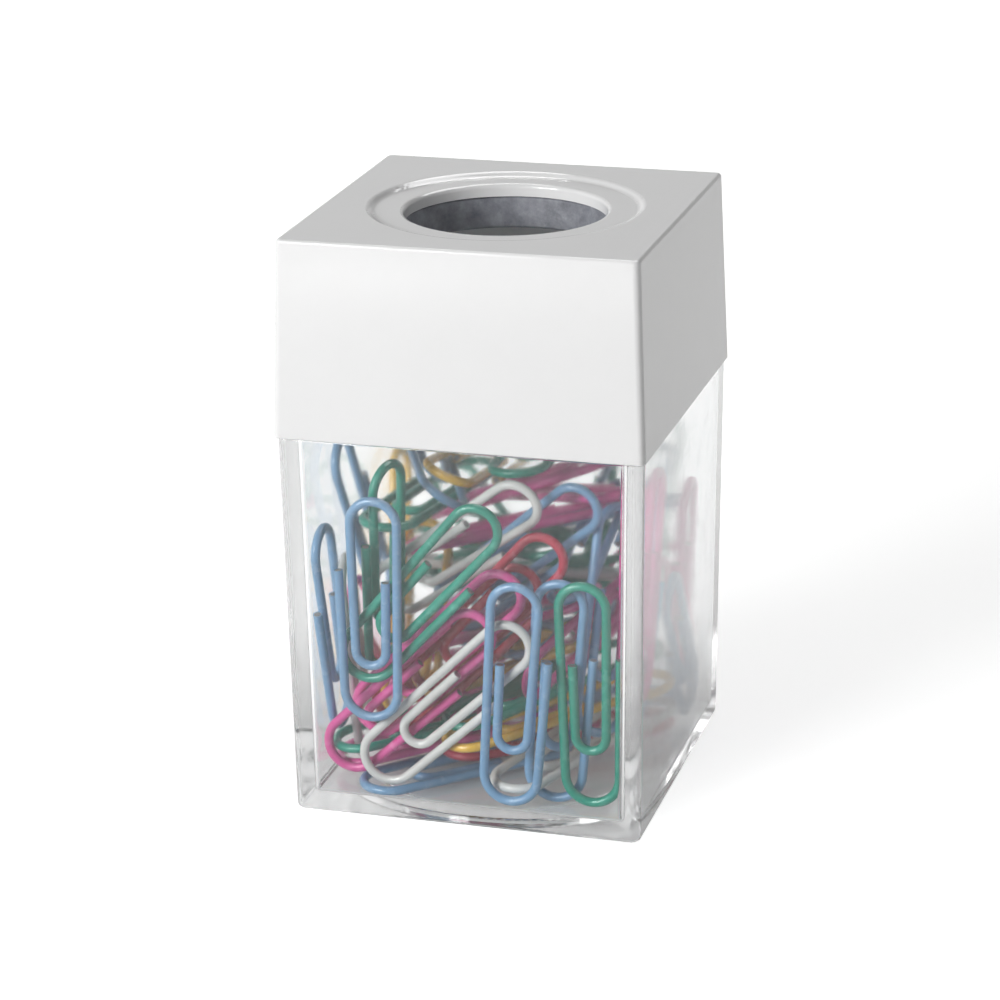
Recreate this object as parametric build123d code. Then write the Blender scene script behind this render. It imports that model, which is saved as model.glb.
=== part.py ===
from build123d import *

import os
import random
from collections import Counter, namedtuple
from math import asin, cos, degrees, radians, sin

import numpy as np

# Whole holder, closed and standing on a desk, in millimetres.
# The origin is under the middle of the base, the front faces -Y and +Z is up.
total_height = 70.0
shoulder_height = 46.6  # step on the base that carries the lid's lower edge

# Base cup, clear plastic
base_foot_width = 42.1
base_shoulder_width = 43.3
base_wall = 2.1
base_floor = 2.0
base_corner_radius = 1.2
cavity_corner_radius = 0.8
cavity_floor_radius = 0.5
foot_edge_radius = 0.6
foot_recess_diameter = 36.0
foot_recess_depth = 0.6
foot_recess_radius = 0.25
neck_height = 7.0  # rim above the shoulder, hidden inside the lid
rim_wall = 0.8  # of the neck, at its rim
shoulder_edge_radius = 0.2
neck_edge_radius = 0.25
fillet_share = 0.45  # the most that a fillet takes of the wall or depth that it rounds

# Lid cover, white plastic
lid_overhang = 0.3  # how far the lid's lower edge stands proud of the base
lid_top_width = 42.3
lid_wall = 1.2
lid_plate = 2.0
lid_fit_gap = 0.1
lid_corner_radius = 0.8
lid_inner_corner_radius = 0.6
lid_top_edge_radius = 0.4
lid_lower_edge_radius = 0.2
lid_inner_edge_radius = 0.5
mouth_diameter = 23.8
mouth_rim_radius = 0.5
dish_diameter = 32.8
dish_depth = 0.5
dish_slope_run = 1.1

# Ring magnet, ferrite, and the collar under the lid that holds it
magnet_outer_diameter = 34.0
magnet_bore_diameter = 24.4
magnet_thickness = 4.0
magnet_chamfer = 0.3
collar_wall = 1.2
collar_gap = 0.15
lip_count = 4
lip_span = 24.0  # degrees of the collar that one snap lip takes
lip_reach = 0.7
lip_height = 0.8

# Paper clip, coated wire
clip_length = 28.0
clip_width = 7.6  # over the large loop
wire_diameter = 1.1
leg_gap = 0.3  # between the small loop and the legs beside it
top_loop_step = 0.8  # how much narrower the top loop is than the large loop
small_loop_setback = 6.5  # from the large loop's end to the small loop's end
inner_end_height = 17.6  # free ends, measured from the large loop's end
outer_end_height = 18.6
outer_leg_splay = 2.5  # degrees that the free outer leg leans away

# Heap of clips in the cup
clip_gap = 0.1  # air kept between clips, and between clips and walls
heap_headroom = 1.6  # from the top of the heap to the shoulder
upright = 90  # lean, in degrees, of a clip that stands
wall_rises = (0.0, 0.35, 0.7)  # where clips stand along the walls, as shares of the room's height
wall_roll = 45  # the most, in degrees, that a clip along a wall is rolled either way
wall_lean = 7  # the most, in degrees, that it leans over towards the wall
bed_count = 3
fill_count = 40  # clips that are tried inside the heap
bed_lean = 14
inside_front = -9.0  # how far forward, in millimetres, the clips inside may reach
inside_top = 41.0  # how high they may reach
fill_top = 0.6  # where the last clips of the fill start, as a share of the room
fill_leans = ((15, 75), (5, 40))  # degrees, taken in turn
clip_colours = ("blue", "green", "pink", "white", "red", "yellow")
colour_weights = (5, 5, 4, 4, 2, 2)
heap_seed = 1
search_tries = 400

# Levels, widths and spacings that follow from the sizes above
lid_height = total_height - shoulder_height
lid_lower_width = base_shoulder_width + 2 * lid_overhang
lid_taper = (lid_lower_width - lid_top_width) / lid_height
base_taper = (base_shoulder_width - base_foot_width) / shoulder_height
rim_height = shoulder_height + neck_height
plate_under = total_height - lid_plate
magnet_under = plate_under - magnet_thickness
dish_level = total_height - dish_depth
wire_radius = wire_diameter / 2
wire_spacing = wire_diameter + clip_gap
heap_cell = wire_diameter / 5.5
layer_pitch = wire_spacing + 2 * heap_cell


def base_width_at(z):
    """Outside width of the base, carried on past the shoulder."""
    return base_foot_width + base_taper * z


def cavity_width_at(z):
    """Inside width of the base."""
    return base_width_at(z) - 2 * base_wall


def lid_width_at(z):
    """Outside width of the lid."""
    return lid_lower_width - lid_taper * (z - shoulder_height)


def lid_hollow_width_at(z):
    """Inside width of the lid."""
    return lid_width_at(z) - 2 * lid_wall


def neck_width_at(z):
    """Outside width of the base's neck, a fit inside the lid's tapered wall."""
    return lid_hollow_width_at(z) - 2 * lid_fit_gap


def neck_hollow_width_at(z):
    """Inside width of the neck, from the cavity's own width at the shoulder to a thin wall at the rim."""
    at_shoulder = cavity_width_at(shoulder_height)
    at_rim = neck_width_at(rim_height) - 2 * rim_wall
    return at_shoulder + (at_rim - at_shoulder) * (z - shoulder_height) / neck_height


def drafted_block(width_at, z_low, z_high, corner_radius):
    """Square block with rounded upright edges, whose width follows width_at from bottom to top."""
    ends = []
    for z in (z_low, z_high):
        ends.append(Plane.XY.offset(z) * RectangleRounded(width_at(z), width_at(z), corner_radius))
    return loft(ends, ruled=True)


def standing_cylinder(diameter, z_low, z_high):
    """Upright cylinder on the holder's axis."""
    return Pos(0, 0, (z_low + z_high) / 2) * Cylinder(diameter / 2, z_high - z_low)


def bottom_edges(solid):
    return solid.edges().group_by(Axis.Z)[0]


def top_edges(solid):
    return solid.edges().group_by(Axis.Z)[-1]


# Base cup

def make_base_cup():
    """Drafted square cup with a stepped neck and a round recess under its floor."""
    body = drafted_block(base_width_at, 0, shoulder_height, base_corner_radius)
    body = fillet(bottom_edges(body), foot_edge_radius)
    body = fillet(top_edges(body), shoulder_edge_radius)

    neck = drafted_block(neck_width_at, shoulder_height, rim_height, lid_inner_corner_radius)
    neck = fillet(top_edges(neck), min(neck_edge_radius, fillet_share * rim_wall))

    cavity = drafted_block(cavity_width_at, base_floor, shoulder_height, cavity_corner_radius)
    cavity = fillet(bottom_edges(cavity), cavity_floor_radius)
    cavity += drafted_block(neck_hollow_width_at, shoulder_height, rim_height, cavity_corner_radius)

    recess = standing_cylinder(foot_recess_diameter, 0, foot_recess_depth)
    recess = fillet(top_edges(recess), min(foot_recess_radius, fillet_share * foot_recess_depth))
    return body + neck - cavity - recess


# Lid cover

def mouth_cutter():
    """Revolved space of the mouth, its rounded rim, and the shallow dish with its soft slope."""
    mouth = mouth_diameter / 2
    dish = dish_diameter / 2
    slope_start = (dish - dish_slope_run, dish_level)
    slope_middle = (dish - dish_slope_run / 2, dish_level + dish_depth / 2)
    slope_end = (dish, total_height)
    above = total_height + lid_plate
    with BuildSketch(Plane.XZ) as profile:
        with BuildLine():
            wall = Polyline(
                (0, above),
                (0, plate_under),
                (mouth, plate_under),
                (mouth, dish_level - mouth_rim_radius),
            )
            rim = TangentArc(wall @ 1, (mouth + mouth_rim_radius, dish_level), tangent=(0, 1))
            Line(rim @ 1, slope_start)
            rise = TangentArc(slope_start, slope_middle, tangent=(1, 0))
            TangentArc(slope_middle, slope_end, tangent=rise % 1)
            Polyline(slope_end, (dish, above), (0, above))
        make_face()
    return revolve(profile.sketch, Axis.Z)


def magnet_collar():
    """Ring wall round the magnet, with snap lips that carry the magnet's outer edge."""
    pocket = magnet_outer_diameter / 2 + collar_gap
    collar_under = magnet_under - lip_height
    collar = standing_cylinder(2 * (pocket + collar_wall), collar_under, plate_under)
    collar -= standing_cylinder(2 * pocket, collar_under, plate_under)

    root = pocket + collar_wall / 2
    with BuildSketch(Plane.XZ) as profile:
        with BuildLine():
            Polyline(
                (root, magnet_under),
                (pocket - lip_reach, magnet_under),
                (pocket, collar_under),
                (root, collar_under),
                close=True,
            )
        make_face()
    lip = revolve(profile.sketch, Axis.Z, revolution_arc=lip_span)
    for number in range(lip_count):
        collar += Rot(0, 0, number * 360 / lip_count - lip_span / 2) * lip
    return collar


def make_lid_cover():
    """Tapered square cover, with the mouth in its top plate and the magnet's collar under it."""
    shell = drafted_block(lid_width_at, shoulder_height, total_height, lid_corner_radius)
    shell = fillet(top_edges(shell), lid_top_edge_radius)
    shell = fillet(bottom_edges(shell), lid_lower_edge_radius)
    hollow = drafted_block(lid_hollow_width_at, shoulder_height, plate_under, lid_inner_corner_radius)
    hollow = fillet(top_edges(hollow), lid_inner_edge_radius)
    magnet_space = standing_cylinder(magnet_outer_diameter + 2 * collar_gap, magnet_under, plate_under)
    return shell - hollow + (magnet_collar() & shell) - magnet_space - mouth_cutter()


# Ring magnet

def make_ring_magnet():
    """Flat ferrite ring with chamfered edges, seated against the lid's top plate."""
    ring = standing_cylinder(magnet_outer_diameter, magnet_under, plate_under)
    ring -= standing_cylinder(magnet_bore_diameter, magnet_under, plate_under)
    return chamfer(ring.edges().filter_by(GeomType.CIRCLE), magnet_chamfer)


# Paper clip

def leg_between(loop, next_loop):
    """Ends of the straight leg from one loop to the next: the circles' outer tangent, left of its way."""
    (centre, radius), (next_centre, next_radius) = loop, next_loop
    way = next_centre - centre
    slant = degrees(asin((radius - next_radius) / way.length))
    side = way.normalized().rotate(Axis.Z, 90 - slant)
    return centre + side * radius, next_centre + side * next_radius


def clip_path():
    """Centre line of the bent wire, flat in XY, with the large loop towards -Y.

    The wire runs down from its inner end, round the small loop, up and round the top loop, down and round
    the large loop, and up to its outer end, always turning the same way.
    """
    low = wire_radius - clip_length / 2
    large_radius = (clip_width - wire_diameter) / 2
    top_radius = large_radius - top_loop_step / 2
    small_radius = large_radius - wire_diameter - leg_gap
    large = (Vector(0, low + large_radius), large_radius)
    top = (Vector(large_radius - top_radius, -low - top_radius), top_radius)
    small = (Vector(0, low + small_loop_setback + small_radius), small_radius)

    splay = radians(outer_leg_splay)
    outer_start = large[0] - Vector(cos(splay), sin(splay)) * large_radius
    outer_rise = low - wire_radius + outer_end_height - outer_start.Y
    outer_end = outer_start + Vector(-sin(splay), cos(splay)) * (outer_rise / cos(splay))
    inner_start = small[0] + Vector(small_radius, 0)
    inner_end = Vector(inner_start.X, low - wire_radius + inner_end_height)
    left_leg = leg_between(small, top)
    right_leg = leg_between(top, large)
    return Wire([
        Line(inner_end, inner_start).edge(),
        ThreePointArc(inner_start, small[0] - Vector(0, small_radius), left_leg[0]).edge(),
        Line(*left_leg).edge(),
        ThreePointArc(left_leg[1], top[0] + Vector(0, top_radius), right_leg[0]).edge(),
        Line(*right_leg).edge(),
        ThreePointArc(right_leg[1], large[0] - Vector(0, large_radius), outer_start).edge(),
        Line(outer_start, outer_end).edge(),
    ])


def make_clip(path):
    """One clip: a round wire carried along its centre line."""
    section = Plane(origin=path @ 0, z_dir=path % 0) * Circle(wire_radius)
    return sweep(section, path=path)


def wire_points(path):
    """Points along a clip's centre line, half a wire's thickness apart."""
    count = int(path.length / wire_radius) + 1
    return np.array([tuple(path @ (i / count)) for i in range(count + 1)])


# Heap of clips
# A clip's place is given in shares of the room that it has: across from -1 at the left wall to 1 at the
# right, depth from -1 at the front wall to 1 at the back, and rise from 0 on the floor to 1 at the top of the
# heap. It comes to rest at the lowest free place from there up. Its angles are in degrees: roll turns it in its
# own plane, lean raises that plane from lying (0) to standing (90), and turn swings it about the upright axis.
ClipPose = namedtuple("ClipPose", "across depth rise roll lean turn")


def turned(degrees_about_z):
    angle = radians(degrees_about_z)
    return np.array([[cos(angle), -sin(angle), 0], [sin(angle), cos(angle), 0], [0, 0, 1]])


def clip_axes(pose):
    """Rotation matrix of a clip: roll, then lean, then turn."""
    lean = radians(pose.lean)
    leaned = np.array([[1, 0, 0], [0, cos(lean), -sin(lean)], [0, sin(lean), cos(lean)]])
    return turned(pose.turn) @ leaned @ turned(pose.roll)


def heap_reach():
    """How far from the middle the centre of a wire can lie, where the cup is narrowest."""
    narrowest = min(cavity_width_at(base_floor), cavity_width_at(shoulder_height))
    return narrowest / 2 - wire_radius - clip_gap


class Heap:
    """The cup as it fills, in small cells: those that the centre of one more wire can't enter are taken."""

    def __init__(self, points):
        self.points = points
        self.reach = heap_reach()
        self.corner = np.array([-self.reach, -self.reach, base_floor + wire_radius + clip_gap])
        top = shoulder_height - heap_headroom - wire_radius
        size = np.array([2 * self.reach, 2 * self.reach, top - self.corner[2]])
        self.taken = np.zeros((size / heap_cell).astype(int) + 1, bool)
        self.keep_off = wire_spacing + heap_cell * 3**0.5 / 2
        steps = np.arange(-int(self.keep_off / heap_cell) - 1, int(self.keep_off / heap_cell) + 2)
        self.around = np.stack(np.meshgrid(steps, steps, steps), axis=-1).reshape(-1, 3)
        self.clips = []

    def cells(self, wire):
        return np.rint((wire - self.corner) / heap_cell).astype(int)

    def rest(self, pose, wedged):
        """Where a clip comes to rest, as the shift of its origin, or None if it finds no room.

        A wedged clip is held by its neighbours and may stop in the air. Any other stops on what is below.
        """
        wire = self.points @ clip_axes(pose).T
        low, high = wire.min(axis=0), wire.max(axis=0)
        room = self.reach - (high - low)[:2] / 2
        levels = self.taken.shape[2] - int((high - low)[2] / heap_cell) - 2
        if room.min() < 0 or levels < 1:
            return None
        shift = np.zeros(3)
        shift[:2] = np.array([pose.across, pose.depth]) * room - (low + high)[:2] / 2
        shift[2] = self.corner[2] - low[2]
        x, y, z = self.cells(wire + shift).T[:, :, None]
        level = np.arange(levels)
        blocked = self.taken[x, y, z + level].any(axis=0)
        held = np.append(True, blocked[:-1])
        fits = ~blocked & (held | wedged) & (level >= int(pose.rise * (levels - 1)))
        if not fits.any():
            return None
        shift[2] += level[np.argmax(fits)] * heap_cell
        return shift

    def add(self, colour, pose, shift):
        """Take the cells round a clip that has come to rest."""
        wire = self.points @ clip_axes(pose).T + shift
        near = self.cells(wire)[:, None, :] + self.around
        gap = np.linalg.norm(near * heap_cell + self.corner - wire[:, None, :], axis=-1)
        inside = ((near >= 0) & (near < self.taken.shape)).all(axis=-1)
        self.taken[tuple(near[inside & (gap < self.keep_off)].T)] = True
        self.clips.append((colour, pose, shift))

    def place(self, colour, pose, wedged):
        """Put a clip in a pose chosen by eye, if there is room for it."""
        shift = self.rest(pose, wedged)
        if shift is not None:
            self.add(colour, pose, shift)

    def search(self, draw, colour, ranges, inside=False):
        """Drop a clip at the lowest of many places drawn from the given ranges.

        A clip that goes inside stays behind the front ones and below the top ones, so that they are seen.
        """
        best = None
        for _ in range(search_tries):
            pose = ClipPose(*(draw.uniform(*span) for span in ranges))
            shift = self.rest(pose, wedged=False)
            if shift is None:
                continue
            wire = self.points @ clip_axes(pose).T + shift
            hides_others = wire[:, 1].min() < inside_front or wire[:, 2].max() > inside_top
            if inside and hides_others:
                continue
            if best is None or shift[2] < best[1][2]:
                best = (pose, shift)
        if best:
            self.add(colour, *best)


def standing(colour, across, layer, rise, roll, turn, lean=upright):
    """Clip that stands along the front wall, in a numbered layer behind it, held by its neighbours."""
    depth = layer * layer_pitch / heap_reach() - 1
    return colour, ClipPose(across, depth, rise, roll, lean, turn), True


def sideways(colour, across, depth, rise, roll):
    """Clip that stands parallel to the side walls, held by its neighbours."""
    return colour, ClipPose(across, depth, rise, roll, upright, 90), True


def lying(colour, across, depth, lean, turn, rise=0):
    """Clip that lies on what is below it, with its large loop turned one way and its other end raised."""
    return colour, ClipPose(across, depth, rise, 0, lean, turn), False


# Clips seen through the front wall, in the order that they are put in
front_clips = [
    standing("blue", -0.80, 0, 0.65, -1, 0),
    standing("blue", 0.41, 0, 0.04, 3, 180),
    standing("green", 0.98, 1, 0.05, -2, 180),
    standing("blue", 0.73, 2, 0, 3, 180),
    lying("blue", -0.42, -1, 0, -46),
    standing("white", -0.38, 1, 0, 45, 180),
    standing("green", -0.69, 1, 0.71, 40, 180),
    standing("pink", -0.61, 3, 0.29, 45, 180),
    standing("pink", -1, 2, 0, 45, 180),
    lying("white", 0.88, -0.85, 5, -24),
    lying("pink", -1, -0.57, 8, -61),
    lying("green", -1, -0.66, 6, -57),
    sideways("blue", -0.99, -1, 0.19, 14),
    standing("white", -0.93, 3.4, 0.01, 12, 97, lean=88),
    standing("blue", 0.97, 4.1, 0.48, 14, 225, lean=100),
    lying("red", 0.72, -0.02, 0, -53),
    lying("yellow", 0.94, -0.74, 8, -50),
    lying("green", 0.66, -0.42, 10, -44),
    standing("red", 0.04, 4, 0.48, 41, 180),
    standing("red", -0.48, 5.5, 0.16, 45, 180),
    standing("yellow", -0.84, 11.2, 0.08, -6, 0),
    standing("white", -0.55, 5.1, 0.50, 51, 175, lean=77),
    standing("blue", 0.37, 6.6, 0.65, 48, 173, lean=84),
    standing("green", -0.71, 1.3, 0.86, 9, 73, lean=98),
    standing("pink", 0.74, 10, 0.19, 104, 72, lean=99),
    lying("green", -0.75, 0.17, 0, -11, rise=0.59),
    lying("pink", 0.68, 0.50, 16, -138, rise=0.50),
]

# Ranges that a search draws a clip's pose from: across, depth, rise, roll, lean and turn
anywhere = (-1, 1)
any_turn = (-180, 180)


def wall_ranges(rise):
    """Clips that stand along the right, back and left walls, their upper ends towards the wall."""
    rises = (rise, rise)
    rolls = (-wall_roll, wall_roll)
    over = (upright, upright + wall_lean)
    back_over = (upright - wall_lean, upright)
    facing_right, facing_back, facing_left = (90, 90), (0, 0), (270, 270)
    return [
        ((1, 1), anywhere, rises, rolls, over, facing_right),
        (anywhere, (1, 1), rises, rolls, back_over, facing_back),
        ((-1, -1), anywhere, rises, rolls, over, facing_left),
    ]


def bed_ranges():
    """Clips that lie on the floor."""
    return (anywhere, anywhere, (0, 0), any_turn, (0, bed_lean), any_turn)


def fill_ranges(rise, leans):
    """Clips anywhere in the cup, from a given height up."""
    return (anywhere, anywhere, (rise, rise), any_turn, leans, any_turn)


def fill_cup(points):
    """Heap up the clips: those seen from the front, those along the walls and floor, and those inside.

    The clips inside are returned apart from the others, which are seen one by one from outside.
    """
    heap = Heap(points)
    for colour, pose, wedged in front_clips:
        heap.place(colour, pose, wedged)

    draw = random.Random(heap_seed)
    along_walls = [ranges for rise in wall_rises for ranges in wall_ranges(rise)]
    for ranges in along_walls + [bed_ranges()] * bed_count:
        heap.search(draw, draw.choices(clip_colours, colour_weights)[0], ranges)

    outer_count = len(heap.clips)
    for number in range(fill_count):
        ranges = fill_ranges(fill_top * number / fill_count, fill_leans[number % len(fill_leans)])
        heap.search(draw, draw.choices(clip_colours, colour_weights)[0], ranges, inside=True)
    return heap.clips[:outer_count], heap.clips[outer_count:]


def seated(clip, pose, shift):
    """A copy of the clip at its place in the heap."""
    axes = clip_axes(pose)
    return Plane(origin=tuple(shift), x_dir=tuple(axes[:, 0]), z_dir=tuple(axes[:, 2])) * clip


def main():
    os.makedirs("parts", exist_ok=True)
    export_step(make_base_cup(), "parts/base_cup.step")
    export_step(make_lid_cover(), "parts/lid_cover.step")
    export_step(make_ring_magnet(), "parts/ring_magnet.step")

    path = clip_path()
    clip = make_clip(path)
    outer, inside = fill_cup(wire_points(path))
    count = Counter()
    for colour, pose, shift in outer:
        count[colour] += 1
        export_step(seated(clip, pose, shift), f"parts/clip_{colour}_{count[colour]:02d}.step")
    for colour in clip_colours:
        group = [seated(clip, pose, shift) for its_colour, pose, shift in inside if its_colour == colour]
        if group:
            export_step(Compound(group), f"parts/clips_inside_{colour}.step")


if __name__ == "__main__":
    main()
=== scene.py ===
"""Looks of a magnetic paper clip holder: a clear cup of coloured clips under a white lid with a ring magnet.

Lengths are in metres in the frame's own axes: the origin is under the middle of the cup, the front faces -Y
and +Z is up. Values whose names end in _mm are millimetres.
"""
from __future__ import annotations

import logging
from abc import ABC, abstractmethod
from dataclasses import dataclass
from enum import Enum
from math import cos, pi, radians, sin

import bmesh
import bpy
import numpy as np
from mathutils import Matrix, Vector


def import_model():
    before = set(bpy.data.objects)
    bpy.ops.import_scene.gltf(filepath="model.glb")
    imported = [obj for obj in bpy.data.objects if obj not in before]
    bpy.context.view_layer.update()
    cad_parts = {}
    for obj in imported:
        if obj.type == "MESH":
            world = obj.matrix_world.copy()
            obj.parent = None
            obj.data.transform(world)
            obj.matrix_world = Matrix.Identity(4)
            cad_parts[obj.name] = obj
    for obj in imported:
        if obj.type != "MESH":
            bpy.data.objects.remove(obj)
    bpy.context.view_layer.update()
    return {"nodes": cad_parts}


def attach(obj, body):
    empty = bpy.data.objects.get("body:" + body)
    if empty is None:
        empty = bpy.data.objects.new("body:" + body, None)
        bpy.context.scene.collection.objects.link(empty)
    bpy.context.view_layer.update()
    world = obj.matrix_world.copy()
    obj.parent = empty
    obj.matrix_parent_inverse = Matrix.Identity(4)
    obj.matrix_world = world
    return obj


MM = 0.001
MIX_A, MIX_B, MIX_COLOUR = 6, 7, 2  # colour inputs and output of a Mix node
NO_BOUNCE = 0.5  # a ray's depth under this is zero

log = logging.getLogger("clip_holder")


# Colours and nodes

def linear(hex_colour: str) -> tuple[float, float, float, float]:
    """Turn an sRGB colour to linear light.

    Args:
        hex_colour: Colour such as "#7FA3CD".

    Returns:
        Linear red, green, blue and an alpha of 1.
    """
    srgb = np.array([int(hex_colour[i:i + 2], 16) for i in (1, 3, 5)]) / 255
    curve = np.where(srgb <= 0.04045, srgb / 12.92, ((srgb + 0.055) / 1.055) ** 2.4)
    return (*curve.tolist(), 1.0)


def scale_for(size_mm: float) -> float:
    """Scale of a pattern on Object coordinates whose features are about size_mm across."""
    return 1 / (size_mm * MM)


def add_node(tree: bpy.types.NodeTree, kind: str, inputs: dict[str | int, object] | None = None,
             **settings: object) -> bpy.types.Node:
    """Add one node with its settings, values and links.

    Args:
        tree: Node tree that gets the node.
        kind: Type of the node, as Blender names it after "ShaderNode".
        inputs: For an input's name or number, the value to set or the output socket to link.
        settings: Properties of the node.

    Returns:
        The new node.
    """
    node = tree.nodes.new("ShaderNode" + kind)
    for name, value in settings.items():
        setattr(node, name, value)
    for key, value in (inputs or {}).items():
        if isinstance(value, bpy.types.NodeSocket):
            tree.links.new(value, node.inputs[key])
        else:
            node.inputs[key].default_value = value
    return node


def seen_directly(tree: bpy.types.NodeTree) -> bpy.types.NodeSocket:
    """Tell the rays of the picture from those that carry light to a matt surface.

    Args:
        tree: Node tree of the world or of the floor.

    Returns:
        A socket that is 1 for camera, glossy and transmitted rays that met no matt surface, and 0 for others.
    """
    path = add_node(tree, "LightPath")
    shiny = add_node(tree, "Math", {
        0: path.outputs["Is Glossy Ray"], 1: path.outputs["Is Transmission Ray"],
    }, operation="MAXIMUM")
    seen = add_node(tree, "Math", {
        0: path.outputs["Is Camera Ray"], 1: shiny.outputs[0],
    }, operation="MAXIMUM")
    unlit = add_node(tree, "Math", {0: path.outputs["Diffuse Depth"], 1: NO_BOUNCE}, operation="LESS_THAN")
    return add_node(tree, "Math", {0: seen.outputs[0], 1: unlit.outputs[0]}, operation="MULTIPLY").outputs[0]


# Finishes. A pattern's _mm is the size of its features, _layers and _grit are how many finer layers it has
# and how strongly they show, and _range is the part of it that goes from one tone to the other.

class Finish(ABC):
    """A real material with the way that its surface was made."""

    name: str

    @abstractmethod
    def surface(self, tree: bpy.types.NodeTree) -> bpy.types.NodeSocket:
        """Add the shader's nodes.

        Args:
            tree: Node tree of the material.

        Returns:
            The shader's output socket.
        """

    def inside(self, tree: bpy.types.NodeTree) -> dict[str, bpy.types.NodeSocket]:
        """What light meets inside the material, by the output's socket name: nothing, if it isn't clear."""
        return {}

    def material(self) -> bpy.types.Material:
        """Make the material that this finish describes.

        Returns:
            The new material.
        """
        material = bpy.data.materials.new(self.name)
        material.use_nodes = True
        tree = material.node_tree
        tree.nodes.clear()
        add_node(tree, "OutputMaterial", {"Surface": self.surface(tree), **self.inside(tree)})
        return material


@dataclass(frozen=True)
class CrystalPolystyrene(Finish):
    """Crystal polystyrene, moulded in a polished tool.

    It is water clear and bends light strongly, so the walls show bright edges, a little grey where the light
    runs far along them. The moulding leaves faint waves, and handling leaves a haze of scuffs that veils what
    is seen at a low angle.
    """

    name: str = "crystal_polystyrene"
    colour: str = "#FCFDFD"
    ior: float = 1.59
    roughness: float = 0.07
    scuff_roughness: float = 0.18
    scuff_mm: float = 2.5
    scuff_layers: float = 6.0
    scuff_grit: float = 0.7
    scuff_range: tuple[float, float] = (0.5, 0.8)
    wave_mm: float = 11.0
    wave_layers: float = 1.0
    wave_depth_mm: float = 0.02
    lamp_colour: str = "#F4F5F5"  # what the walls leave of the lamps' light
    depth_colour: str = "#F4F4F4"  # what a depth of depth_mm leaves of the light that runs along a wall
    depth_mm: float = 17.0

    def surface(self, tree: bpy.types.NodeTree) -> bpy.types.NodeSocket:
        """Add clear plastic that lets lamps light what is inside.

        Args:
            tree: Node tree of the material.

        Returns:
            The shader's output socket.
        """
        place = add_node(tree, "TexCoord").outputs["Object"]
        waves = add_node(tree, "TexNoise", {
            "Vector": place, "Scale": scale_for(self.wave_mm), "Detail": self.wave_layers,
        })
        scuffs = add_node(tree, "TexNoise", {
            "Vector": place, "Scale": scale_for(self.scuff_mm), "Detail": self.scuff_layers,
            "Roughness": self.scuff_grit,
        })
        start, end = self.scuff_range
        rough = add_node(tree, "MapRange", {
            "Value": scuffs.outputs[0], "From Min": start, "From Max": end,
            "To Min": self.roughness, "To Max": self.scuff_roughness,
        })
        bump = add_node(tree, "Bump", {"Height": waves.outputs[0], "Distance": self.wave_depth_mm * MM})
        shell = add_node(tree, "BsdfPrincipled", {
            "Base Color": linear(self.colour), "Transmission Weight": 1.0, "IOR": self.ior,
            "Roughness": rough.outputs[0], "Normal": bump.outputs[0],
        })
        open_way = add_node(tree, "BsdfTransparent", {"Color": linear(self.lamp_colour)})
        path = add_node(tree, "LightPath")
        for rays in ("Is Shadow Ray", "Is Diffuse Ray"):
            shell = add_node(tree, "MixShader", {
                0: path.outputs[rays], 1: shell.outputs[0], 2: open_way.outputs[0],
            })
        return shell.outputs[0]

    def inside(self, tree: bpy.types.NodeTree) -> dict[str, bpy.types.NodeSocket]:
        """Add the faint grey that shows where the plastic is deep.

        Args:
            tree: Node tree of the material.

        Returns:
            The volume's socket, by the output's socket name.
        """
        grey = add_node(tree, "VolumeAbsorption", {
            "Color": linear(self.depth_colour), "Density": 1 / (self.depth_mm * MM),
        })
        return {"Volume": grey.outputs[0]}


@dataclass(frozen=True)
class WhiteAbs(Finish):
    """White ABS, moulded in a polished tool.

    It is bright and glossy, with a faint orange peel in its reflections and dull traces of handling.
    """

    name: str = "white_abs"
    colour: str = "#F0F0F0"
    worn_colour: str = "#EEEEEE"
    ior: float = 1.52
    roughness: float = 0.12
    dull_roughness: float = 0.15
    handling_mm: float = 14.0
    handling_layers: float = 5.0
    handling_grit: float = 0.65
    handling_range: tuple[float, float] = (0.35, 0.7)
    peel_mm: float = 0.9
    peel_layers: float = 2.0
    peel_depth_mm: float = 0.0015

    def surface(self, tree: bpy.types.NodeTree) -> bpy.types.NodeSocket:
        """Add glossy white plastic.

        Args:
            tree: Node tree of the material.

        Returns:
            The shader's output socket.
        """
        place = add_node(tree, "TexCoord").outputs["Object"]
        peel = add_node(tree, "TexNoise", {
            "Vector": place, "Scale": scale_for(self.peel_mm), "Detail": self.peel_layers,
        })
        handling = add_node(tree, "TexNoise", {
            "Vector": place, "Scale": scale_for(self.handling_mm), "Detail": self.handling_layers,
            "Roughness": self.handling_grit,
        })
        start, end = self.handling_range
        dull = add_node(tree, "MapRange", {"Value": handling.outputs[0], "From Min": start, "From Max": end})
        rough = add_node(tree, "MapRange", {
            "Value": dull.outputs[0], "To Min": self.roughness, "To Max": self.dull_roughness,
        })
        colour = add_node(tree, "Mix", {
            0: dull.outputs[0], MIX_A: linear(self.colour), MIX_B: linear(self.worn_colour),
        }, data_type="RGBA")
        bump = add_node(tree, "Bump", {"Height": peel.outputs[0], "Distance": self.peel_depth_mm * MM})
        return add_node(tree, "BsdfPrincipled", {
            "Base Color": colour.outputs[MIX_COLOUR], "Roughness": rough.outputs[0], "IOR": self.ior,
            "Normal": bump.outputs[0],
        }).outputs[0]


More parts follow.
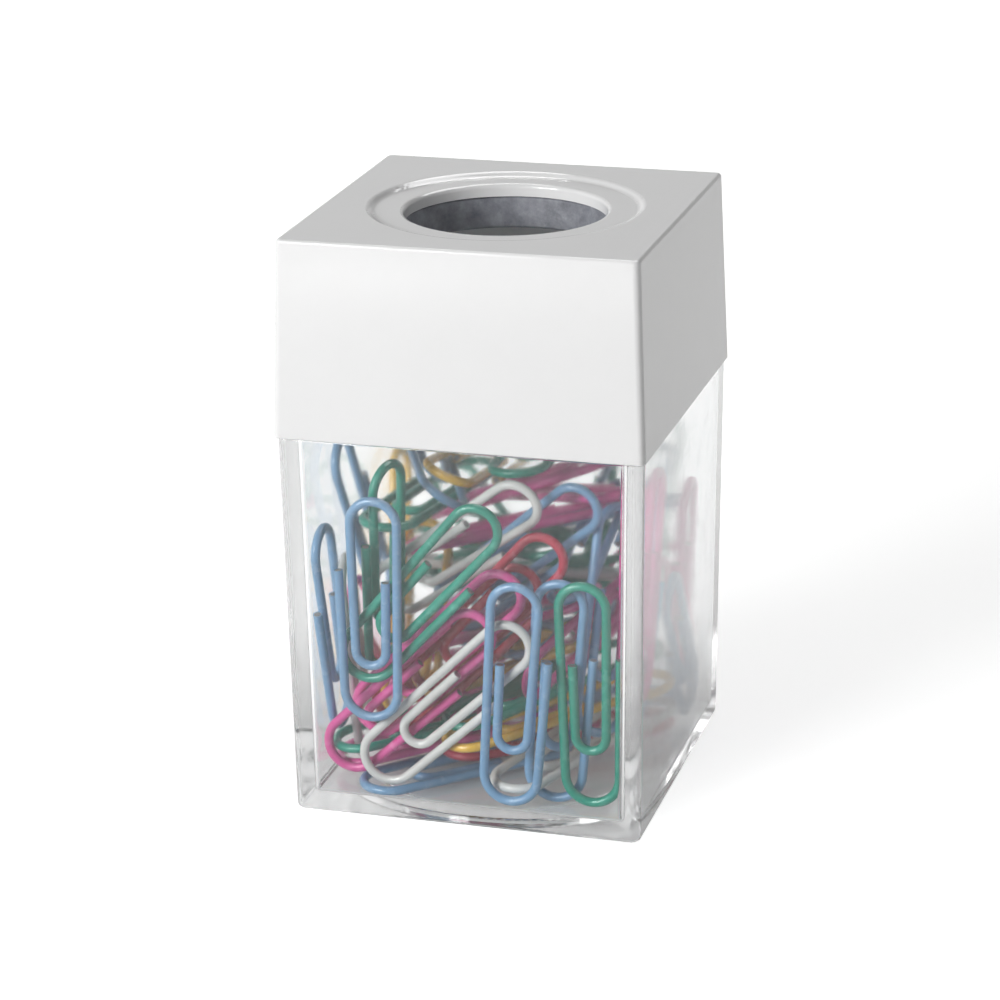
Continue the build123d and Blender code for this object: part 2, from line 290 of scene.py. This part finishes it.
@dataclass(frozen=True)
class SinteredFerrite(Finish):
    """Hard ferrite, pressed from powder and fired.

    It is a cool dark grey, matt and a little mottled, with the pits of its grain.
    """

    name: str = "sintered_ferrite"
    colour: str = "#5F626A"
    light_colour: str = "#9A9CA4"
    ior: float = 1.9
    roughness: float = 0.5
    mottle_mm: float = 2.2
    mottle_layers: float = 6.0
    mottle_grit: float = 0.7
    mottle_range: tuple[float, float] = (0.3, 0.7)
    grain_mm: float = 0.45  # far coarser than the real grain, so that it shows
    pit_depth_mm: float = 0.03

    def surface(self, tree: bpy.types.NodeTree) -> bpy.types.NodeSocket:
        """Add mottled ceramic.

        Args:
            tree: Node tree of the material.

        Returns:
            The shader's output socket.
        """
        place = add_node(tree, "TexCoord").outputs["Object"]
        mottle = add_node(tree, "TexNoise", {
            "Vector": place, "Scale": scale_for(self.mottle_mm), "Detail": self.mottle_layers,
            "Roughness": self.mottle_grit,
        })
        grain = add_node(tree, "TexVoronoi", {"Vector": place, "Scale": scale_for(self.grain_mm)})
        start, end = self.mottle_range
        spread = add_node(tree, "MapRange", {"Value": mottle.outputs[0], "From Min": start, "From Max": end})
        colour = add_node(tree, "Mix", {
            0: spread.outputs[0], MIX_A: linear(self.colour), MIX_B: linear(self.light_colour),
        }, data_type="RGBA")
        bump = add_node(tree, "Bump", {"Height": grain.outputs[0], "Distance": self.pit_depth_mm * MM})
        return add_node(tree, "BsdfPrincipled", {
            "Base Color": colour.outputs[MIX_COLOUR], "Roughness": self.roughness, "IOR": self.ior,
            "Normal": bump.outputs[0],
        }).outputs[0]


class WireColour(Enum):
    """Coats of the clips, each with its sRGB colour and the paler colour of its scuffs."""

    BLUE = ("#80ADD5", "#A9C6E0")
    GREEN = ("#1F9F87", "#5CBAA7")
    PINK = ("#EA5AA8", "#F094C3")
    WHITE = ("#EBEBE8", "#D9D9D5")
    RED = ("#C8324E", "#D97788")
    YELLOW = ("#F6C446", "#F8D788")

    @property
    def word(self) -> str:
        """The colour as the names of nodes and materials have it."""
        return self.name.lower()


@dataclass(frozen=True)
class CoatedWire(Finish):
    """Steel wire with a coat of PVC.

    The coat is smooth and evenly coloured, with a soft highlight along the wire and paler scuffs.
    """

    coat: WireColour
    ior: float = 1.53
    roughness: float = 0.22
    scuff_roughness: float = 0.45
    scuff_mm: float = 1.6
    scuff_layers: float = 5.0
    scuff_grit: float = 0.7
    scuff_range: tuple[float, float] = (0.52, 0.82)
    tone_mm: float = 7.0
    tone_layers: float = 1.0
    tone_range: tuple[float, float] = (0.3, 0.7)
    tone_values: tuple[float, float] = (0.92, 1.06)  # times the colour, from clip to clip and along a wire
    skin_mm: float = 0.35
    skin_layers: float = 2.0
    skin_depth_mm: float = 0.006

    @property
    def name(self) -> str:
        """Material name with the coat's colour."""
        return "pvc_coated_steel_" + self.coat.word

    def surface(self, tree: bpy.types.NodeTree) -> bpy.types.NodeSocket:
        """Add the coat.

        Args:
            tree: Node tree of the material.

        Returns:
            The shader's output socket.
        """
        colour, pale = (linear(tone) for tone in self.coat.value)
        place = add_node(tree, "TexCoord").outputs["Object"]
        scuff = add_node(tree, "TexNoise", {
            "Vector": place, "Scale": scale_for(self.scuff_mm), "Detail": self.scuff_layers,
            "Roughness": self.scuff_grit,
        })
        start, end = self.scuff_range
        worn = add_node(tree, "MapRange", {"Value": scuff.outputs[0], "From Min": start, "From Max": end})
        tone = add_node(tree, "TexNoise", {
            "Vector": place, "Scale": scale_for(self.tone_mm), "Detail": self.tone_layers,
        })
        (start, end), (dark, light) = self.tone_range, self.tone_values
        shade = add_node(tree, "MapRange", {
            "Value": tone.outputs[0], "From Min": start, "From Max": end, "To Min": dark, "To Max": light,
        })
        mixed = add_node(tree, "Mix", {0: worn.outputs[0], MIX_A: colour, MIX_B: pale}, data_type="RGBA")
        toned = add_node(tree, "HueSaturation", {
            "Color": mixed.outputs[MIX_COLOUR], "Value": shade.outputs[0],
        })
        rough = add_node(tree, "MapRange", {
            "Value": worn.outputs[0], "To Min": self.roughness, "To Max": self.scuff_roughness,
        })
        skin = add_node(tree, "TexNoise", {
            "Vector": place, "Scale": scale_for(self.skin_mm), "Detail": self.skin_layers,
        })
        bump = add_node(tree, "Bump", {"Height": skin.outputs[0], "Distance": self.skin_depth_mm * MM})
        return add_node(tree, "BsdfPrincipled", {
            "Base Color": toned.outputs[0], "Roughness": rough.outputs[0], "IOR": self.ior,
            "Normal": bump.outputs[0],
        }).outputs[0]


@dataclass(frozen=True)
class ShearedSteel(Finish):
    """Low carbon steel, bare where the wire was sheared: a grey metal with torn streaks."""

    name: str = "sheared_steel"
    colour: str = "#A9A9A6"
    dark_colour: str = "#6E6E6C"
    roughness: float = 0.38
    streak_mm: float = 0.12  # coarser than the real tears, so that they show
    streak_layers: float = 3.0
    streak_depth_mm: float = 0.03

    def surface(self, tree: bpy.types.NodeTree) -> bpy.types.NodeSocket:
        """Add streaked metal.

        Args:
            tree: Node tree of the material.

        Returns:
            The shader's output socket.
        """
        place = add_node(tree, "TexCoord").outputs["Object"]
        streaks = add_node(tree, "TexNoise", {
            "Vector": place, "Scale": scale_for(self.streak_mm), "Detail": self.streak_layers,
        })
        colour = add_node(tree, "Mix", {
            0: streaks.outputs[0], MIX_A: linear(self.dark_colour), MIX_B: linear(self.colour),
        }, data_type="RGBA")
        bump = add_node(tree, "Bump", {"Height": streaks.outputs[0], "Distance": self.streak_depth_mm * MM})
        return add_node(tree, "BsdfPrincipled", {
            "Base Color": colour.outputs[MIX_COLOUR], "Metallic": 1.0, "Roughness": self.roughness,
            "Normal": bump.outputs[0],
        }).outputs[0]


@dataclass(frozen=True)
class WhiteSweep(Finish):
    """Matt white paper sweep.

    It takes a soft shadow, and to the eye it runs into the white background. Through the clear walls and in
    the gloss of the lid its glow is as white, but for a painted shade under the cup, and for the front, where
    the glow in gloss is painted dimmer to go with the dim room there.
    """

    name: str = "matt_white_paper"
    colour: str = "#E8E8E8"
    fibre_colour: str = "#E2E2E1"
    fibre_mm: float = 1.5  # clumps of fibres: single ones are too fine to show
    fibre_layers: float = 3.0
    lift: float = 0.75  # light that the eye sees besides what the paper reflects
    far_lift: float = 1.0  # the same far from the lamps, where the paper reflects little
    far_range: tuple[float, float] = (0.35, 1.2)  # distances from the middle between which it rises to that
    painted_shade_mm: float = 4.0  # how far from the middle the painted shade under the cup reaches
    open_mm: float = 62.0  # where the painted shade ends: from here on the paper is as white in the walls as it is beside them
    painted_dim_front: float = 0.2  # painted dimming: share of that white which a surface mirrors from the front
    front_mm: float = 25.0  # how far in front of the middle the mirrored paper is as dim as that

    def surface(self, tree: bpy.types.NodeTree) -> bpy.types.NodeSocket:
        """Add matt paper that looks nearly white to the camera.

        Args:
            tree: Node tree of the material.

        Returns:
            The shader's output socket.
        """
        place = add_node(tree, "TexCoord").outputs["Object"]
        fibre = add_node(tree, "TexNoise", {
            "Vector": place, "Scale": scale_for(self.fibre_mm), "Detail": self.fibre_layers,
        })
        colour = add_node(tree, "Mix", {
            0: fibre.outputs[0], MIX_A: linear(self.colour), MIX_B: linear(self.fibre_colour),
        }, data_type="RGBA")
        paper = add_node(tree, "BsdfDiffuse", {"Color": colour.outputs[MIX_COLOUR]})
        away = add_node(tree, "VectorMath", {0: place}, operation="LENGTH")
        # Painted shade: the glow that the walls and gloss show fades out towards the middle, a painted shadow
        # under the cup.
        clear = add_node(tree, "MapRange", {
            "Value": away.outputs["Value"], "From Min": self.painted_shade_mm * MM, "From Max": self.open_mm * MM,
        })
        path = add_node(tree, "LightPath")
        # Painted dimming: in gloss the glow is weaker in front of the middle; through the walls it is not.
        side = add_node(tree, "MapRange", {
            "Value": add_node(tree, "SeparateXYZ", {0: place}).outputs["Y"],
            "From Min": -self.front_mm * MM, "From Max": 0.0, "To Min": self.painted_dim_front,
        })
        shown = add_node(tree, "Math", {
            0: path.outputs["Is Transmission Ray"], 1: side.outputs[0],
        }, operation="MAXIMUM")
        white = add_node(tree, "Math", {0: shown.outputs[0], 1: clear.outputs[0]}, operation="MULTIPLY")
        through = add_node(tree, "Math", {0: seen_directly(tree), 1: white.outputs[0]}, operation="MULTIPLY")
        seen = add_node(tree, "Math", {
            0: path.outputs["Is Camera Ray"], 1: through.outputs[0],
        }, operation="MAXIMUM")
        start, end = self.far_range
        lift = add_node(tree, "MapRange", {
            "Value": away.outputs["Value"], "From Min": start, "From Max": end,
            "To Min": self.lift, "To Max": self.far_lift,
        })
        strength = add_node(tree, "Math", {0: seen.outputs[0], 1: lift.outputs[0]}, operation="MULTIPLY")
        glow = add_node(tree, "Emission", {"Strength": strength.outputs[0]})
        return add_node(tree, "AddShader", {0: paper.outputs[0], 1: glow.outputs[0]}).outputs[0]


# Meshes

def grid_faces(rows: int, columns: int) -> np.ndarray:
    """Quads of a grid whose columns close round.

    Args:
        rows: Points along the open way.
        columns: Points along the closed way.

    Returns:
        Indices of each quad's four corners, with point (row, column) numbered row * columns + column.
    """
    row, column = np.meshgrid(np.arange(rows - 1), np.arange(columns), indexing="ij")
    beside = (column + 1) % columns
    corners = [row * columns + column, row * columns + beside,
               (row + 1) * columns + beside, (row + 1) * columns + column]
    return np.stack(corners, axis=-1).reshape(-1, 4)


def close_poles(mesh: bpy.types.Mesh, gap_mm: float = 0.0005) -> None:
    """Merge the points that meet at a pole, so that the mesh is closed, and turn its faces outwards.

    Args:
        mesh: Mesh to close.
        gap_mm: Points nearer than this become one.
    """
    work = bmesh.new()
    work.from_mesh(mesh)
    bmesh.ops.remove_doubles(work, verts=work.verts, dist=gap_mm * MM)
    bmesh.ops.recalc_face_normals(work, faces=work.faces)
    work.to_mesh(mesh)
    work.free()


def new_piece(name: str, points: np.ndarray, faces: np.ndarray,
              material: bpy.types.Material) -> bpy.types.Object:
    """Make an object at the origin from the points of a grid with poles.

    Args:
        name: Name of the piece.
        points: Vertex coordinates in metres, one row each.
        faces: Vertex indices, one row per face.
        material: Finish of the piece.

    Returns:
        The object, smooth, closed at its poles and linked to the scene.
    """
    mesh = bpy.data.meshes.new(name)
    mesh.from_pydata(points.reshape(-1, 3).tolist(), [], faces.tolist())
    mesh.polygons.foreach_set("use_smooth", np.ones(len(mesh.polygons), bool))
    mesh.materials.append(material)
    mesh.update()
    close_poles(mesh)
    piece = bpy.data.objects.new(name, mesh)
    bpy.context.scene.collection.objects.link(piece)
    return piece


def dress(node: bpy.types.Object, material: bpy.types.Material) -> None:
    """Give a node of the frame its finish."""
    for slot in node.material_slots:
        slot.material = material


# Sub-assemblies

@dataclass
class Cup:
    """The clear base cup."""

    node: bpy.types.Object
    finish: CrystalPolystyrene = CrystalPolystyrene()

    def build(self) -> None:
        """Dress the cup."""
        dress(self.node, self.finish.material())
        log.info("%s: %s", self.node.name, self.finish.name)


@dataclass
class Lid:
    """The white cover and the ring magnet that it holds."""

    cover: bpy.types.Object
    magnet: bpy.types.Object
    cover_finish: WhiteAbs = WhiteAbs()
    magnet_finish: SinteredFerrite = SinteredFerrite()

    def build(self) -> None:
        """Dress the cover and the magnet."""
        for node, finish in ((self.cover, self.cover_finish), (self.magnet, self.magnet_finish)):
            dress(node, finish.material())
            log.info("%s: %s", node.name, finish.name)


@dataclass
class ClipsOfOneColour:
    """All clips with the same coat, and the bare steel at their cut ends."""

    coat: WireColour
    nodes: list[bpy.types.Object]
    steel: bpy.types.Material
    core_radius_mm: float = 0.42
    core_height_mm: float = 0.05
    core_depth_mm: float = 0.1
    core_rings: int = 6
    core_sides: int = 20
    flat_tolerance: float = 0.01  # how far the normals of a cut end's triangles may differ
    wire_reach_mm: float = 1.1  # every point of a cut end lies this close to any other

    def build(self) -> None:
        """Dress the clips and set a steel core in each cut end."""
        coat = CoatedWire(self.coat).material()
        for node in self.nodes:
            dress(node, coat)
        ends = np.concatenate([self.cut_ends(node.data) for node in self.nodes])
        cores = self.cores(ends)
        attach(cores, "base")
        "wire_" + self.coat.word
        log.info("%d nodes: %s, with %d cut ends in %s", len(self.nodes), coat.name, len(ends), cores.name)

    def cut_ends(self, mesh: bpy.types.Mesh) -> np.ndarray:
        """Find the flat ends of the wires.

        Round faces have normals that differ from corner to corner, and the cut ends have the same all over.

        Args:
            mesh: Mesh of one or more clips, in triangles.

        Returns:
            For each end, its centre and its outward normal.
        """
        count = len(mesh.polygons)
        normals = np.empty((count, 3, 3), "f")
        centres = np.empty((count, 3), "f")
        areas = np.empty(count, "f")
        mesh.corner_normals.foreach_get("vector", normals.ravel())
        mesh.polygons.foreach_get("center", centres.ravel())
        mesh.polygons.foreach_get("area", areas)
        mean = normals.mean(axis=1)
        flat = np.linalg.norm(normals - mean[:, None], axis=2).max(axis=1) < self.flat_tolerance
        ends = []
        while flat.any():
            first = np.argmax(flat)
            near = np.linalg.norm(centres - centres[first], axis=1) < self.wire_reach_mm * MM
            end = flat & near & (mean @ mean[first] > 1 - self.flat_tolerance)
            ends.append([np.average(centres[end], axis=0, weights=areas[end]), mean[first]])
            flat &= ~end
        return np.array(ends)

    def cores(self, ends: np.ndarray) -> bpy.types.Object:
        """Make the steel cores that show at the cut ends, as low domes let into the wire.

        A core is a profile turned about the end's normal: at share t of its way from the rim to the middle
        its radius is r * cos(t * 90 degrees) and its height h * sin(t * 90 degrees), and a rim goes down
        into the wire to a closed foot.

        Args:
            ends: Centre and normal of each cut end.

        Returns:
            One piece with all cores.
        """
        quarter = np.linspace(0, pi / 2, self.core_rings)
        radius = self.core_radius_mm * MM * np.concatenate([[0, 1], np.cos(quarter)])
        height = MM * np.concatenate([[-self.core_depth_mm] * 2, self.core_height_mm * np.sin(quarter)])
        turn = np.linspace(0, 2 * pi, self.core_sides, endpoint=False)
        normal = ends[:, 1] / np.linalg.norm(ends[:, 1], axis=1, keepdims=True)
        least = np.eye(3)[np.argmin(np.abs(normal), axis=1)]
        across = np.cross(normal, least)
        across /= np.linalg.norm(across, axis=1, keepdims=True)
        along = np.cross(normal, across)
        spoke = across[:, None] * np.cos(turn)[:, None] + along[:, None] * np.sin(turn)[:, None]
        points = (ends[:, 0][:, None, None] + spoke[:, None] * radius[:, None, None]
                  + normal[:, None, None] * height[:, None, None])
        one = grid_faces(len(radius), self.core_sides)
        faces = one + np.arange(len(ends))[:, None, None] * len(radius) * self.core_sides
        return new_piece("steel_cores_" + self.coat.word, points, faces.reshape(-1, 4), self.steel)


# Studio

def toward(azimuth: float, elevation: float) -> Vector:
    """Unit vector from the holder to a place, from degrees to the right of the front and above the floor."""
    a, e = radians(azimuth), radians(elevation)
    return Vector((sin(a) * cos(e), -cos(a) * cos(e), sin(e)))


class Surfaces(Enum):
    """Surfaces that a panel lights."""

    ALL = "all"
    GLOSSY = "glossy"
    MATT = "matt"


@dataclass(frozen=True)
class Panel:
    """A soft light: a bright panel that faces a point above the middle of the foot."""

    name: str
    azimuth: float  # degrees from the front, to the right
    elevation: float  # degrees above the level of the point
    distance: float
    width: float
    height: float
    power: float  # watts
    aim_mm: float = 45.0  # height of the point
    lights: Surfaces = Surfaces.ALL

    def build(self) -> None:
        """Add the light."""
        lamp = bpy.data.lights.new(self.name, "AREA")
        lamp.shape = "RECTANGLE"
        lamp.size = self.width
        lamp.size_y = self.height
        lamp.energy = self.power
        light = bpy.data.objects.new(self.name, lamp)
        away = toward(self.azimuth, self.elevation)
        place = Matrix.Translation(Vector((0, 0, self.aim_mm * MM)) + away * self.distance)
        light.matrix_world = place @ away.to_track_quat("Z", "Y").to_matrix().to_4x4()
        light.visible_camera = False
        light.visible_diffuse = self.lights is not Surfaces.GLOSSY
        light.visible_glossy = self.lights is not Surfaces.MATT
        light.visible_transmission = self.lights is Surfaces.ALL
        bpy.context.scene.collection.objects.link(light)


@dataclass(frozen=True)
class PhotoCamera:
    """Camera at the photograph's viewpoint."""

    azimuth: float = 16.03
    elevation: float = 18.99
    roll: float = -0.76
    distance: float = 0.4093
    aim_mm: float = 35.0
    image_px: float = 1000.0
    focal_px: float = 3414.2
    right_px: float = 9.7  # how far the aimed point lies from the image's middle
    down_px: float = -11.5
    sensor_mm: float = 36.0
    near_mm: float = 10.0  # nothing nearer than this is drawn

    def build(self) -> None:
        """Add the camera and make it the scene's own."""
        lens = bpy.data.cameras.new("photo_camera")
        lens.sensor_width = self.sensor_mm
        lens.lens = self.focal_px / self.image_px * self.sensor_mm
        lens.shift_x = -self.right_px / self.image_px
        lens.shift_y = self.down_px / self.image_px
        lens.clip_start = self.near_mm * MM
        camera = bpy.data.objects.new("photo_camera", lens)
        back = toward(self.azimuth, self.elevation)
        right = Vector((cos(radians(self.azimuth)), sin(radians(self.azimuth)), 0))
        level = Matrix((right, back.cross(right), back)).transposed().to_4x4()
        place = Matrix.Translation(Vector((0, 0, self.aim_mm * MM)) + back * self.distance)
        camera.matrix_world = place @ level @ Matrix.Rotation(radians(self.roll), 4, "Z")
        bpy.context.scene.collection.objects.link(camera)
        bpy.context.scene.camera = camera


@dataclass
class Studio:
    """Floor, light and camera."""

    floor_finish: WhiteSweep = WhiteSweep()
    floor_radius: float = 2.5
    floor_drop_mm: float = 0.05  # under the foot, so that the two faces don't coincide
    floor_rings: int = 24
    floor_sides: int = 96
    ambient: float = 0.09  # light that matt surfaces get from all round
    dim_room: float = 0.3  # how bright gloss and clear walls show the room in front of the holder
    dim_range: tuple[float, float] = (-0.5, 0.1)  # Y of the directions between which the room gets bright
    wall_bounces: int = 32  # light runs far along the clear walls before it leaves them
    panels: tuple[Panel, ...] = (
        Panel("key_panel", azimuth=-32, elevation=21, distance=0.9, width=0.45, height=0.35, power=7.1),
        Panel("right_fill", azimuth=85, elevation=12, distance=1.0, width=0.8, height=0.6, power=1.1),
        Panel("back_fill", azimuth=195, elevation=8, distance=1.0, width=0.6, height=0.4, power=4.0,
              lights=Surfaces.MATT),
        Panel("front_card", azimuth=-13.5, elevation=0, distance=0.146, width=0.06, height=0.006,
              power=0.0022, aim_mm=41, lights=Surfaces.GLOSSY),
        Panel("back_card", azimuth=165, elevation=58, distance=0.5, width=0.5, height=0.32, power=2.8,
              lights=Surfaces.GLOSSY),
    )
    camera: PhotoCamera = PhotoCamera()

    def build(self) -> None:
        """Set up the view, the floor, the light and the camera."""
        scene = bpy.context.scene
        scene.view_settings.view_transform = "Standard"
        scene.cycles.max_bounces = self.wall_bounces
        scene.cycles.glossy_bounces = self.wall_bounces
        scene.cycles.transmission_bounces = self.wall_bounces
        self.floor()
        self.world()
        for panel in self.panels:
            panel.build()
        self.camera.build()
        log.info("studio: %d panels", len(self.panels))

    def floor(self) -> None:
        """Add the floor: a flat disc of rings whose radius grows as the square of their number."""
        radius = self.floor_radius * np.linspace(0, 1, self.floor_rings) ** 2
        turn = np.linspace(0, 2 * pi, self.floor_sides, endpoint=False)
        points = np.stack([
            np.outer(radius, np.cos(turn)),
            np.outer(radius, np.sin(turn)),
            np.full((self.floor_rings, self.floor_sides), -self.floor_drop_mm * MM),
        ], axis=-1)
        faces = grid_faces(self.floor_rings, self.floor_sides)
        new_piece("floor", points, faces, self.floor_finish.material())

    def world(self) -> None:
        """Add an even white surround that is dimmer as a light than it looks."""
        world = bpy.data.worlds.new("white_surround")
        world.use_nodes = True
        tree = world.node_tree
        tree.nodes.clear()
        way = add_node(tree, "SeparateXYZ", {0: add_node(tree, "TexCoord").outputs["Generated"]})
        start, end = self.dim_range
        side = add_node(tree, "MapRange", {
            "Value": way.outputs["Y"], "From Min": start, "From Max": end, "To Min": self.dim_room,
        })
        shown = add_node(tree, "Math", {
            0: add_node(tree, "LightPath").outputs["Is Camera Ray"], 1: side.outputs[0],
        }, operation="MAXIMUM")
        strength = add_node(tree, "MapRange", {
            "Value": seen_directly(tree), "To Min": self.ambient, "To Max": shown.outputs[0],
        })
        white = add_node(tree, "Background", {"Color": (1, 1, 1, 1), "Strength": strength.outputs[0]})
        add_node(tree, "OutputWorld", {"Surface": white.outputs[0]})
        bpy.context.scene.world = world


def main() -> None:
    """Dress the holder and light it."""
    logging.basicConfig(level=logging.INFO, format="%(name)s: %(message)s")
    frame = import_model()
    nodes = frame["nodes"]

    Cup(nodes["base_cup"]).build()
    Lid(nodes["lid_cover"], nodes["ring_magnet"]).build()
    steel = ShearedSteel().material()
    for coat in WireColour:
        names = (f"clip_{coat.word}_", f"clips_inside_{coat.word}")
        clips = [node for name, node in nodes.items() if name.startswith(names)]
        if clips:
            ClipsOfOneColour(coat, clips, steel).build()
    Studio().build()


if __name__ == "__main__":
    main()
